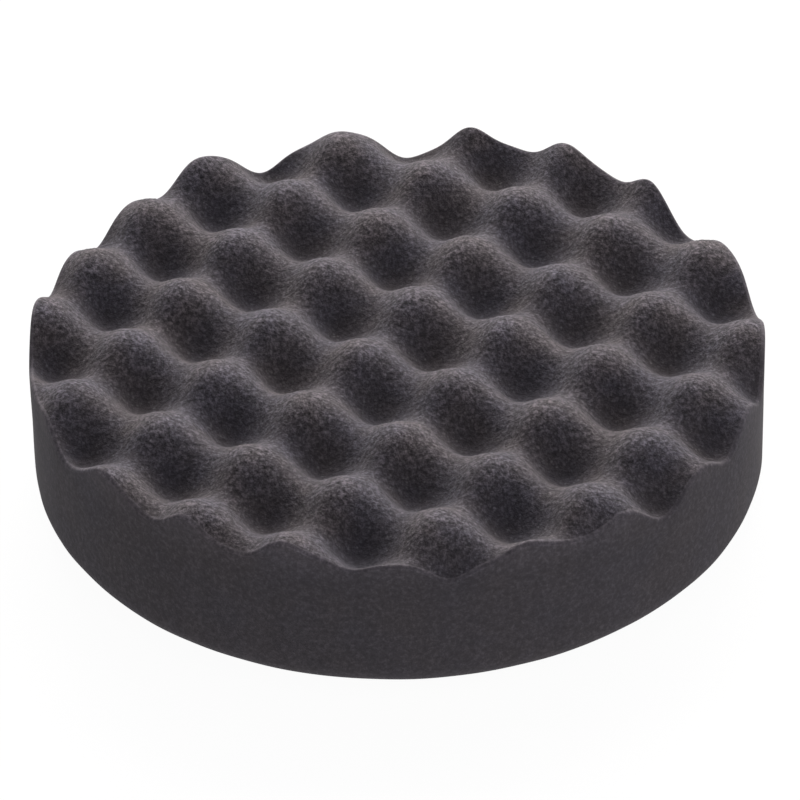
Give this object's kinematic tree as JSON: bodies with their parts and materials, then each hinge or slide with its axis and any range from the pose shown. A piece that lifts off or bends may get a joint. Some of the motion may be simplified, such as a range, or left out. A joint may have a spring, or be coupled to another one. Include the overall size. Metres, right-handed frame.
{
  "type": "foam polishing pad",
  "caption": "Round waffle-faced foam polishing pad with a loop backing that grips the hook-faced plate of a car polisher.",
  "frame": {"origin": "centre of the loop face that the pad lies on, the middle of the bottom of the pad", "axes": "+Z is the pad's axis, out of the loops and towards the waffle crests; the waffle rows run about 30 degrees below +X"},
  "size_m": [0.15, 0.15, 0.0367],
  "materials": {
    "foam": "dark grey open-cell polyurethane foam, matt",
    "film": "translucent hot-melt adhesive film",
    "ground_knit": "fine warp knit in black polyamide yarn",
    "loops": "brushed loops of black polyamide yarn with a soft sheen"
  },
  "bodies": {
    "root": {"foam_disc": "foam", "adhesive_film": "film", "backing_fabric": "ground_knit", "loop_pile": "loops"}
  },
  "joints": []
}
